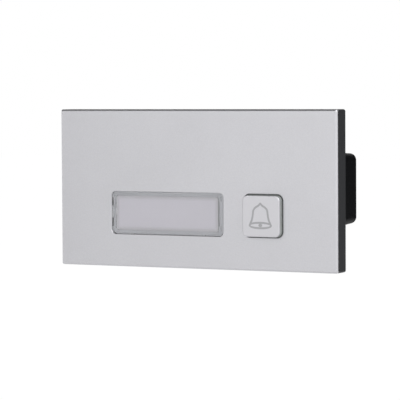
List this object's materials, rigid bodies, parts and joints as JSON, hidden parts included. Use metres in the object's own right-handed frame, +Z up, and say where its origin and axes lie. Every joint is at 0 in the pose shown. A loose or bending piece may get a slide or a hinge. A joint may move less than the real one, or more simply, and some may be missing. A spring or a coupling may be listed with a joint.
{
  "type": "door intercom call button module",
  "caption": "Flush door intercom module with an aluminium faceplate, one sprung call button, a backlit name window and a rear box with bus sockets.",
  "frame": {"origin": "middle of the four fixing screws, in the plane of the frame's rear seating face", "axes": "+X along the long side to the right as seen from the street, +Y into the wall, +Z up"},
  "size_m": [0.115, 0.0294, 0.0588],
  "materials": {
    "anodised_aluminium": "fine blasted natural anodised",
    "adhesive_tape": "double-sided tape",
    "charcoal_plastic": "fine textured moulding",
    "insert_brass": "turned",
    "clear_lens": "polished clear polycarbonate",
    "white_card": "plain white card",
    "milky_diffuser": "milky translucent moulding",
    "silver_button": "satin silver lacquer",
    "carbon_rubber": "matt carbon-loaded rubber",
    "silicone_rubber": "translucent silicone",
    "circuit_board": "green solder mask",
    "chip_plastic": "moulded epoxy",
    "can_aluminium": "drawn can",
    "ferrite": "sintered ferrite",
    "chip_ceramic": "ceramic",
    "led_plastic": "white moulding",
    "socket_plastic": "natural nylon",
    "tinned_pins": "tin plated",
    "black_plastic": "fine textured moulding",
    "gasket_rubber": "closed-cell foam rubber",
    "screw_steel": "zinc plated"
  },
  "bodies": {
    "module_body": {"front_plate": "anodised_aluminium", "plate_adhesive": "adhesive_tape", "base_frame": "charcoal_plastic", "thread_inserts": "insert_brass", "nameplate_lens": "clear_lens", "name_card": "white_card", "light_guide": "milky_diffuser", "button_seal": "silicone_rubber", "main_board": "circuit_board", "controller_chip": "chip_plastic", "bus_driver_chip": "chip_plastic", "filter_capacitors": "can_aluminium", "power_inductor": "ferrite", "chip_passives": "chip_ceramic", "backlight_leds": "led_plastic", "bus_socket_in": "socket_plastic", "bus_socket_out": "socket_plastic", "socket_pins": "tinned_pins", "rear_cover": "black_plastic", "cover_gasket": "gasket_rubber", "cover_screws": "screw_steel", "board_screws": "screw_steel"},
    "call_button": {"button_cap": "silver_button", "contact_pill": "carbon_rubber"}
  },
  "joints": [
    {"name": "call_button_press", "type": "slide", "parent": "module_body", "child": "call_button", "axis": [0, 1, 0], "range_m": [0, 0.0012], "stiffness_N_per_m": 600, "springref_m": -0.0008, "deforming": ["button_seal"]}
  ]
}
